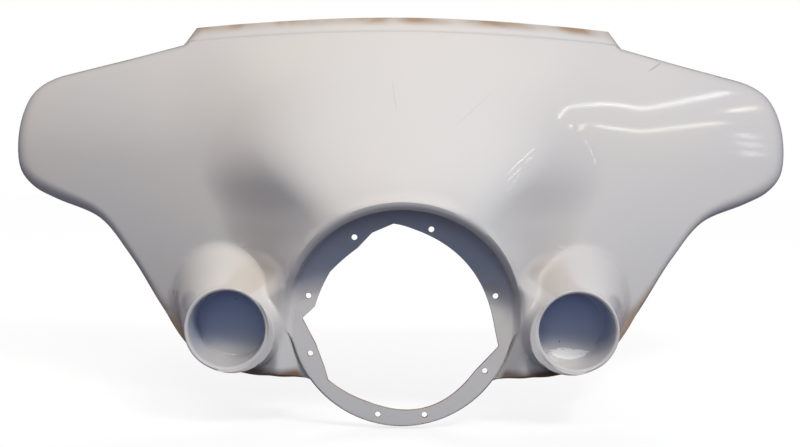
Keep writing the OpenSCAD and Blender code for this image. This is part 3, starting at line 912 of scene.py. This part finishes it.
def mark_group() -> Tree:
    """One soft-edged, more or less ragged spot round the origin of its vector, a unit in radius."""
    desk, given = new_group("mark", {"Ragged": 0.4}, "Mask")
    shift = desk.math("SUBTRACT", desk.noise(given["Vector"], 3.0, 3.0), 0.5)
    far = desk.plus(desk.length(given["Vector"]), desk.times(shift, given["Ragged"]))
    desk.add("NodeGroupOutput", {"Mask": desk.math("SUBTRACT", 1.0, desk.ramp(far, 0.72, 0.98))})
    return desk.tree


@dataclass(frozen=True)
class Mark:
    """A stain, flake, scratch or painted dark reflection line on the gelcoat, seen from the front, in metres and
    degrees.
    """

    place: Pair
    reach: Pair
    turn: float
    tint: tuple
    strength: float
    ragged: float = 0.4
    depth: Pair = (0.0, 1000.0)

    def over(self, desk: Desk, group: Tree, where: Socket, base: Socket) -> Socket:
        """Lays the mark over a base colour and returns the new colour."""
        (x, z), (width, height), (y, deep) = self.place, self.reach, self.depth
        spot = desk.turned(where, (x, y, z), -self.turn, (width, deep, height))
        mask = desk.use(group, spot, Ragged=self.ragged)
        return desk.blend(desk.times(mask, self.strength), base, self.tint)


class Finish:
    """A material that is worked out from the object's own coordinates."""

    name = "finish"

    def inputs(self, desk: Desk, place: Socket, patchy: Tree, waviness: Tree) -> dict[str, object]:
        """Works out the shader's inputs, by name."""
        raise NotImplementedError

    def make(self, patchy: Tree, waviness: Tree) -> Material:
        """Builds the material.

        Args:
            patchy: Node group of soft patches.
            waviness: Node group of the surface's height.

        Returns:
            The material.
        """
        material = bpy.data.materials.new(self.name)
        material.use_nodes = True
        desk = Desk(material.node_tree)
        shader = material.node_tree.nodes["Principled BSDF"]
        place = desk.add("ShaderNodeTexCoord").outputs["Object"]
        for key, value in self.inputs(desk, place, patchy, waviness).items():
            desk.feed(shader.inputs[key], value)
        return material


@dataclass(frozen=True)
class Gelcoat(Finish):
    """Off-white glossy gelcoat, stained towards its edges, with painted shade in its hollows, painted shade and
    sky reflection in the cups and under the hood, and a dark brown band along the bottom.
    """

    name = "gelcoat"
    body: tuple = colour(0.64, 0.60, 0.565)
    cool: tuple = colour(0.60, 0.59, 0.585)
    # Brown of the stains at the free edge, also used as painted shade in the hollows.
    stain: tuple = colour(0.36, 0.25, 0.16)
    # Dark brown of the bottom band: bare brown underside with painted shade where the body turns under.
    underside_brown_and_shade: tuple = colour(0.17, 0.085, 0.05)
    # Painted shade and painted blue sky reflection for the insides of the cups and the underside of the hood.
    shade: tuple = colour(0.27, 0.33, 0.50)
    roughness: float = 0.07
    ring_end: float = 0.1035
    stain_mm: Pair = (2.0, 18.0)
    edge_stain: float = 0.75
    hollow_shade_and_stain: float = 0.22
    underside_band_z: Pair = (-0.041, -0.049)
    marks: tuple[Mark, ...] = (
        Mark((-0.214, -0.004), (0.026, 0.011), 115.0, colour(0.26, 0.17, 0.11), 0.55, 1.3),
        Mark((0.1575, -0.0335), (0.0225, 0.0062), -1.0, colour(0.95, 0.93, 0.90), 0.95, 1.5, (0.025, 0.006)),
        Mark((0.1491, -0.0216), (0.0007, 0.0007), 0.0, colour(0.04, 0.04, 0.05), 0.9),
        Mark((-0.1555, 0.0164), (0.0007, 0.0007), 0.0, colour(0.04, 0.04, 0.05), 0.9),
        Mark((-0.0086, 0.2072), (0.018, 0.00035), 98.0, colour(0.30, 0.27, 0.24), 0.3, 0.3),
        Mark((0.066, 0.1964), (0.0315, 0.00035), 43.0, colour(0.30, 0.27, 0.24), 0.22, 0.3),
        # A painted dark reflection line on the right wing, standing for an object mirrored in the gloss.
        Mark((0.2735, 0.2510), (0.0125, 0.0009), 32.0, colour(0.20, 0.17, 0.15), 0.45, 0.3),
    )

    def inputs(self, desk: Desk, place: Socket, patchy: Tree, waviness: Tree) -> dict[str, object]:
        """Works out the shader's inputs, by name."""
        near_edge, hollow, shaded = (desk.add("ShaderNodeAttribute", attribute_name=name).outputs["Fac"]
                                     for name in ("edge_mm", "hollow", "shade"))
        base = desk.blend(desk.times(desk.use(patchy, place, Size=5.0), 0.6), self.body, self.cool)
        dirt = desk.use(patchy, place, Size=24.0, Low=0.3, High=0.7)
        x, _, z = desk.add("ShaderNodeSeparateXYZ", {0: place}).outputs
        off_ring = desk.math("SQRT", desk.plus(desk.times(x, x), desk.times(z, z)))
        edge = desk.math("SUBTRACT", 1.0, desk.ramp(near_edge, *self.stain_mm))
        edge = desk.times(edge, desk.ramp(off_ring, self.ring_end, 0.12))
        # Brown towards the free edge is stain; brown in the hollows is painted shade with some stain.
        stain_and_shade = desk.times(desk.times(desk.plus(0.45, dirt), edge), self.edge_stain)
        stain_and_shade = desk.math("MAXIMUM", stain_and_shade, desk.times(hollow, self.hollow_shade_and_stain), clamp=True)
        # The shade attribute lays painted shade and painted sky reflection over the cups and under the hood.
        base = desk.blend(shaded, desk.blend(stain_and_shade, base, self.stain), self.shade)
        # Dark brown band along the bottom edge, kept off the ring: bare underside with painted shade.
        under = desk.times(desk.ramp(z, *self.underside_band_z), desk.ramp(off_ring, self.ring_end, 0.108))
        under = desk.times(under, desk.plus(0.75, desk.times(dirt, 0.25)))
        base = desk.blend(under, base, self.underside_brown_and_shade)
        group = mark_group()
        for mark in self.marks:
            base = mark.over(desk, group, place, base)
        rough = desk.plus(self.roughness, desk.times(desk.use(patchy, place, Size=12.0), 0.04))
        waves = desk.use(waviness, place, Wave_size=7.0, Wave=1.0, Grain=0.01)
        return {"Base Color": base, "Roughness": desk.plus(rough, desk.times(under, 0.5)),
                "Normal": desk.bump(waves, 0.0002, 0.6), "IOR": 1.5}


@dataclass(frozen=True)
class Laminate(Finish):
    """The bare back of a hand-laid moulding: matted glass strands under brownish resin."""

    name = "laminate_back"
    resin: tuple = colour(0.42, 0.34, 0.24)
    strand: tuple = colour(0.62, 0.56, 0.45)
    wet: tuple = colour(0.52, 0.45, 0.34)
    roughness: float = 0.5
    turns: tuple[float, ...] = (12.0, 57.0, 101.0, 148.0)
    strand_shape: Triple = (14.0, 1.0, 1.0)

    def inputs(self, desk: Desk, place: Socket, patchy: Tree, waviness: Tree) -> dict[str, object]:
        """Works out the shader's inputs, by name."""
        strands = 0.0
        for turn in self.turns:
            turned = desk.turned(place, (0.1 * turn, 0.0, 0.0), turn, self.strand_shape)
            strands = desk.math("MAXIMUM", strands, desk.ramp(desk.noise(turned, 420.0, 1.0), 0.56, 0.66))
        wet = desk.use(patchy, place, Size=10.0)
        base = desk.blend(desk.times(strands, 0.55), self.resin, self.strand)
        waves = desk.use(waviness, place, Wave_size=40.0, Wave=0.6, Grain=0.2)
        return {"Base Color": desk.blend(desk.times(wet, 0.4), base, self.wet),
                "Roughness": desk.math("SUBTRACT", self.roughness, desk.times(wet, 0.18)),
                "Normal": desk.bump(desk.plus(waves, desk.times(strands, 0.5)), 0.001, 0.8)}


@dataclass(frozen=True)
class CutEdge(Finish):
    """Sawn and drilled edges: thin layers of amber resin and glass, a little ragged."""

    name = "cut_edge"
    pale: tuple = colour(0.42, 0.34, 0.25)
    dark: tuple = colour(0.16, 0.10, 0.06)

    def inputs(self, desk: Desk, place: Socket, patchy: Tree, waviness: Tree) -> dict[str, object]:
        """Works out the shader's inputs, by name."""
        layers = desk.get("ShaderNodeMapping", {"Vector": place, "Scale": (1.0, 12.0, 1.0)})
        waves = desk.use(waviness, place, Wave_size=300.0, Grain=0.3)
        return {"Base Color": desk.blend(desk.use(patchy, layers, Size=130.0), self.dark, self.pale),
                "Roughness": 0.62, "Normal": desk.bump(waves, 0.0004, 0.8)}


def hole_wall_tree(material: Material) -> Tree:
    """Geometry Nodes tree that sets the wall of a drilled hole on every point.

    Args:
        material: Finish of the walls.

    Returns:
        The tree, with the hole's radius, depth, broken edge and sides as inputs.
    """
    tree = bpy.data.node_groups.new("drilled_holes", "GeometryNodeTree")
    face = tree.interface
    for way in ("INPUT", "OUTPUT"):
        face.new_socket(name="Geometry", in_out=way, socket_type="NodeSocketGeometry")
    for label in ("Radius", "Depth", "Broken edge"):
        face.new_socket(name=label, in_out="INPUT", socket_type="NodeSocketFloat")
    face.new_socket(name="Sides", in_out="INPUT", socket_type="NodeSocketInt")
    desk = Desk(tree)
    source = desk.add("NodeGroupInput").outputs
    line = desk.get("GeometryNodeCurvePrimitiveLine", {"Start": (0.0, 0.0, 0.0), "End": (0.0, 1.0, 0.0)})
    path = desk.get("GeometryNodeResampleCurve", {"Curve": line, "Count": 4})
    side = desk.math("SUBTRACT", desk.get("GeometryNodeInputIndex"), 1.5)
    at_end = desk.math("GREATER_THAN", desk.math("ABSOLUTE", side), 1.0)
    half = desk.times(source["Depth"], 0.5)
    inner = desk.times(source["Broken edge"], desk.math("SUBTRACT", 1.0, at_end))
    y = desk.plus(half, desk.times(desk.math("SIGN", side), desk.math("SUBTRACT", half, inner)))
    spot = desk.get("ShaderNodeCombineXYZ", {"Y": y})
    moved = desk.get("GeometryNodeSetPosition", {"Geometry": path, "Position": spot})
    ratio = desk.plus(1.0, desk.times(at_end, desk.math("DIVIDE", source["Broken edge"], source["Radius"])))
    rim = {"Resolution": source["Sides"], "Radius": source["Radius"]}
    circle = desk.get("GeometryNodeCurvePrimitiveCircle", rim)
    tube = desk.get("GeometryNodeCurveToMesh", {"Curve": moved, "Profile Curve": circle, "Scale": ratio})
    placed = desk.get("GeometryNodeInstanceOnPoints", {"Points": source["Geometry"], "Instance": tube})
    real = desk.get("GeometryNodeRealizeInstances", {0: placed})
    desk.add("NodeGroupOutput", {0: desk.get("GeometryNodeSetMaterial", {0: real, "Material": material})})
    return tree


def mesh_object(name: str, points: Array, faces: Sequence[Sequence[int]]) -> Object:
    """Makes an object of points in millimetres and faces."""
    mesh = bpy.data.meshes.new(name)
    mesh.from_pydata((points * MM).tolist(), [], [list(map(int, f)) for f in faces])
    obj = bpy.data.objects.new(name, mesh)
    bpy.context.scene.collection.objects.link(obj)
    return obj


@dataclass
class DressedShell:
    """The shell as one finished piece that stands for its frame node."""

    shell: FairingShell = field(default_factory=FairingShell)
    # Strength of the painted shade and sky reflection on the ring and wall under the hood.
    hood_shade: float = 0.52
    sharp_angle: float = 32.0

    def hole_walls(self, cut_finish: Material) -> Object:
        """The walls of the screw holes, set on their centres by Geometry Nodes."""
        cut = self.shell.cut
        spots = cut.hole_centres()
        obj = mesh_object("hole_walls", np.stack([spots[:, 0], 0 * spots[:, 0], spots[:, 1]], axis=1), [])
        tree = hole_wall_tree(cut_finish)
        modifier = obj.modifiers.new("drilled_holes", "NODES")
        modifier.node_group = tree
        sizes = {"Radius": cut.hole_d / 2 * MM, "Depth": cut.ring_t * MM, "Broken edge": cut.broken * MM,
                 "Sides": cut.hole_sides}
        for item in tree.interface.items_tree:
            if item.in_out == "INPUT" and item.name in sizes:
                modifier[item.identifier] = sizes[item.name]
        seen = obj.evaluated_get(bpy.context.evaluated_depsgraph_get())
        mesh = bpy.data.meshes.new_from_object(seen)
        obj.modifiers.remove(modifier)
        obj.data = mesh
        return obj

    def masks(self, mesh: bpy.types.Mesh, edge_points: Array) -> None:
        """Writes how near the free edge each point is, how hollow the body is there, and how much painted shade
        and painted sky reflection it gets.
        """
        form = self.shell.form
        n = len(mesh.vertices)
        co = np.empty(n * 3)
        mesh.vertices.foreach_get("co", co)
        co = co.reshape(-1, 3) / MM
        nearest = np.full(n, 1e9)
        for k in range(0, len(edge_points), 40):
            block = edge_points[k:k + 40]
            nearest = np.minimum(nearest, np.linalg.norm(co[:, None, :] - block[None], axis=2).min(axis=1))
        x, z, step = co[:, 0], co[:, 2], 14.0
        steps = ((step, 0), (-step, 0), (0, step), (0, -step))
        around = sum(form.body(x + dx, z + dz) for dx, dz in steps) / len(steps)
        # How far the body lies behind its neighbours; the gelcoat paints shade, with some stain, where this is
        # high.
        hollow = ease((form.body(x, z) - around) / 3.0) * (np.abs(co[:, 1] - form.depth(x, z)) < 1.0)
        # Painted shade and sky reflection: inside each cup, darkest at the top where the rim shades it, and on
        # the ring and wall under the hood.
        up, back = z - form.cup_z, co[:, 1] - form.cup_y
        q = np.hypot(np.abs(x) - form.cup_x, up)
        cup = ease((form.lip_r - 3.5 - q) / 1.5) * ease((back - 1.0) / 8.0)
        cup *= back < self.shell.cup_depth + 0.5
        cup *= ease((up + 30.0) / 26.0) * (0.8 + 0.2 * ease((up + 4.0) / 24.0))
        hood = ease((self.shell.plan.ring_r + 4.5 - np.hypot(x, z)) / 3.0) * ease((z - 12.0) / 50.0)
        shade = np.maximum(cup, self.hood_shade * hood * (co[:, 1] < 1.0))
        for name, values in (("edge_mm", nearest), ("hollow", hollow), ("shade", shade)):
            mesh.attributes.new(name, "FLOAT", "POINT").data.foreach_set("value", values.astype(np.float32))

    def make(self, finishes: Sequence[Material]) -> Object:
        """Builds and dresses the piece.

        Args:
            finishes: Materials in the order of the zones.

        Returns:
            The finished object.
        """
        book = self.shell.build()
        obj = mesh_object("fairing_moulding", np.concatenate(book.points), book.faces)
        obj.data.polygons.foreach_set("material_index", np.array(book.zones, np.int32))
        for finish in finishes:
            obj.data.materials.append(finish)
        self.join(obj, self.hole_walls(finishes[Zone.CUT.value]))
        self.masks(obj.data, self.shell.outer_skin()[:, -1])
        obj.data.shade_smooth()
        obj.data.set_sharp_from_angle(angle=math.radians(self.sharp_angle))
        return obj

    def join(self, obj: Object, walls: Object) -> None:
        """Joins the hole walls to the shell, so that it is closed again."""
        work = bmesh.new()
        work.from_mesh(obj.data)
        first = len(work.faces)
        work.from_mesh(walls.data)
        work.faces.ensure_lookup_table()
        for face in work.faces[first:]:
            face.material_index = Zone.CUT.value
            face.normal_flip()
        rims = [v for v in work.verts if v.is_boundary]
        bmesh.ops.remove_doubles(work, verts=rims, dist=0.02 * MM)
        loose = [v for v in work.verts if not v.link_faces]
        bmesh.ops.delete(work, geom=loose, context="VERTS")
        open_edges = sum(1 for e in work.edges if len(e.link_faces) != 2)
        LOG.info("moulding: %d faces, %d open edges", len(work.faces), open_edges)
        work.to_mesh(obj.data)
        work.free()
        bpy.data.objects.remove(walls)


@dataclass
class PhotoCamera:
    """A camera at the photograph's place, in front of and a little above the ring."""

    distance: float = 0.943
    elevation: float = 9.0
    turn: float = -0.5
    roll: float = 0.5
    focal_px: float = 1023.3
    width_px: float = 800.0
    height_px: float = 447.0
    ring_px: Pair = (402.8, 321.7)
    sensor_mm: float = 36.0

    @staticmethod
    def turned(a: Vector, b: Vector, angle: float) -> tuple[Vector, Vector]:
        """Turns two axes that stand square to each other towards one another."""
        return a * math.cos(angle) + b * math.sin(angle), b * math.cos(angle) - a * math.sin(angle)

    def make(self) -> Object:
        """Creates the camera and makes it the scene's own."""
        e, a = math.radians(self.elevation), math.radians(self.turn)
        place = self.distance * Vector((math.sin(a) * math.cos(e), -math.cos(a) * math.cos(e), math.sin(e)))
        ahead = -place.normalized()
        right = ahead.cross(Vector((0, 0, 1))).normalized()
        up = right.cross(ahead)
        across, down = (px - whole / 2 for px, whole in zip(self.ring_px, (self.width_px, self.height_px)))
        ahead, up = self.turned(ahead, up, math.atan(down / self.focal_px))
        ahead, right = self.turned(ahead, right, -math.atan(across / self.focal_px))
        right, up = self.turned(right, up, math.radians(self.roll))
        data = bpy.data.cameras.new("photo_camera")
        data.sensor_fit = "HORIZONTAL"
        data.sensor_width = self.sensor_mm
        data.lens = self.sensor_mm * self.focal_px / self.width_px
        data.clip_start = 0.01
        obj = bpy.data.objects.new("photo_camera", data)
        basis = Matrix((right, up, -ahead)).transposed().to_4x4()
        obj.matrix_world = Matrix.Translation(place) @ basis
        bpy.context.scene.collection.objects.link(obj)
        bpy.context.scene.camera = obj
        return obj


WARM = (1.0, 0.93, 0.74)


@dataclass(frozen=True)
class SoftLamp:
    """One soft area lamp: where it stands, its size and light, where it points, and if the gloss shows it."""

    name: str
    place: Triple
    size: Pair
    power: float
    tint: Triple
    aim: Triple = (0.0, 0.1, 0.1)
    mirrored: bool = True

    def make(self) -> None:
        """Creates the lamp."""
        data = bpy.data.lights.new(self.name, "AREA")
        data.shape = "RECTANGLE"
        data.size, data.size_y = self.size
        data.energy = self.power
        data.color = self.tint
        obj = bpy.data.objects.new(self.name, data)
        obj.location = self.place
        obj.visible_glossy = self.mirrored
        obj.rotation_euler = (Vector(self.aim) - Vector(self.place)).to_track_quat("-Z", "Y").to_euler()
        bpy.context.scene.collection.objects.link(obj)


@dataclass
class Studio:
    """Pale floor, white surroundings, soft lamps and a window that the right wing mirrors."""

    floor_z: float = -0.1002
    floor_half: float = 6.0
    sky: tuple = colour(0.14, 0.27, 0.80)
    sky_strength: float = 0.17
    white: tuple = colour(1.0, 1.0, 1.0)
    window: Triple = (2.0, 0.0, 0.82)
    pane_size: Pair = (0.0075, 0.088)
    pane_gap: Pair = (0.0115, 0.12)
    pane_lean: float = 0.42
    lamps: tuple[SoftLamp, ...] = (
        SoftLamp("high_left", (-1.2, -0.3, 1.7), (1.0, 1.0), 7.0, (1.0, 0.88, 0.66), mirrored=False),
        SoftLamp("front_high", (-0.15, -1.45, 1.8), (0.9, 0.16), 11.0, (1.0, 0.98, 0.92)),
        SoftLamp("front_key", (0.8, -1.25, 1.6), (0.7, 0.35), 30.0, (1.0, 0.99, 0.94), mirrored=False),
        SoftLamp("front_sky", (0.0, -2.3, 0.6), (1.6, 0.7), 7.5, (0.76, 0.89, 1.0), mirrored=False),
        SoftLamp("right_window", (2.0, -1.0, 0.8), (0.6, 1.0), 7.0, (0.78, 0.87, 1.0), (0.2, 0.1, 0.15),
                 False),
        SoftLamp("rear_soft", (0.3, 2.0, 1.1), (1.8, 1.0), 40.0, (1.0, 0.97, 0.92), mirrored=False),
        SoftLamp("left_crest", (-0.8, 0.35, 1.6), (0.8, 0.8), 7.0, (1.0, 0.93, 0.8), (-0.25, 0.12, 0.22),
                 False),
        SoftLamp("long_strip", (2.0, 0.15, 1.55), (0.62, 0.032), 0.5, (0.95, 0.98, 1.0), (0.3, 0.15, 0.2)),
        SoftLamp("short_strip_mid", (2.0, -0.05, 1.18), (0.3, 0.035), 0.24, WARM, (0.3, 0.15, 0.2)),
        SoftLamp("short_strip_back", (2.0, 0.29, 1.30), (0.12, 0.035), 0.10, WARM, (0.4, 0.2, 0.2)),
    )

    def make(self) -> None:
        """Creates the floor, the surroundings and the lamps."""
        corners = np.array([[-1, -1], [1, -1], [1, 1], [-1, 1]]) * self.floor_half
        floor = mesh_object("floor", np.insert(corners, 2, self.floor_z, axis=1) / MM, [(0, 1, 2, 3)])
        floor.data.materials.append(self.floor_finish())
        world = bpy.data.worlds.new("surroundings")
        bpy.context.scene.world = world
        world.use_nodes = True
        desk = Desk(world.node_tree)
        back = world.node_tree.nodes["Background"].inputs
        rays = desk.add("ShaderNodeLightPath").outputs
        seen = desk.math("MAXIMUM", rays["Is Camera Ray"], rays["Is Transmission Ray"])
        desk.feed(back["Color"], desk.blend(seen, self.sky, self.white))
        desk.feed(back["Strength"], desk.plus(self.sky_strength, desk.times(seen, 1.0 - self.sky_strength)))
        for lamp in self.lamps:
            lamp.make()
        for k in range(6):
            x, y, z = self.window
            row = self.pane_gap[1] * (k // 2 - 1)
            place = (x, y + self.pane_gap[0] * (k % 2 - 0.5) + self.pane_lean * row, z + row)
            SoftLamp("pane_%d" % k, place, self.pane_size, 0.02, (0.92, 0.96, 1.0), (0.38, 0.19, 0.17)).make()
        bpy.context.scene.view_settings.view_transform = "Standard"

    def floor_finish(self) -> Material:
        """Matt floor, off-white to the light and fading to white in the camera's view."""
        material = bpy.data.materials.new("pale_floor")
        material.use_nodes = True
        desk = Desk(material.node_tree)
        nodes = material.node_tree.nodes
        shader = nodes["Principled BSDF"]
        rays = desk.add("ShaderNodeLightPath").outputs["Is Camera Ray"]
        seen = desk.blend(rays, colour(0.14, 0.14, 0.17), colour(0.9, 0.9, 0.9))
        for key, value in (("Base Color", seen), ("Roughness", 0.9), ("Specular IOR Level", 0.1)):
            desk.feed(shader.inputs[key], value)
        glow = desk.get("ShaderNodeEmission", {"Color": self.white, "Strength": 1.0})
        far = desk.ramp(desk.length(desk.add("ShaderNodeTexCoord").outputs["Object"]), 0.3, 1.3)
        share = desk.times(rays, desk.plus(0.8, desk.times(far, 0.19)))
        both = desk.get("ShaderNodeMixShader", {0: share, 1: shader.outputs[0], 2: glow})
        desk.feed(nodes["Material Output"].inputs["Surface"], both)
        return material


def write_sizes() -> None:
    """Brings the scene up to date."""
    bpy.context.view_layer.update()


def main() -> None:
    """Builds the scene."""
    logging.basicConfig(level=logging.INFO, format="%(name)s: %(message)s")
    patchy, waviness = patchy_group(), waviness_group()
    moulding = DressedShell().make([kind().make(patchy, waviness) for kind in (Gelcoat, Laminate, CutEdge)])
    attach(moulding, "root")
    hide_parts("fairing_shell")
    LOG.info("%s: %d polygons", moulding.name, len(moulding.data.polygons))
    PhotoCamera().make()
    Studio().make()
    write_sizes()


if __name__ == "__main__":
    main()
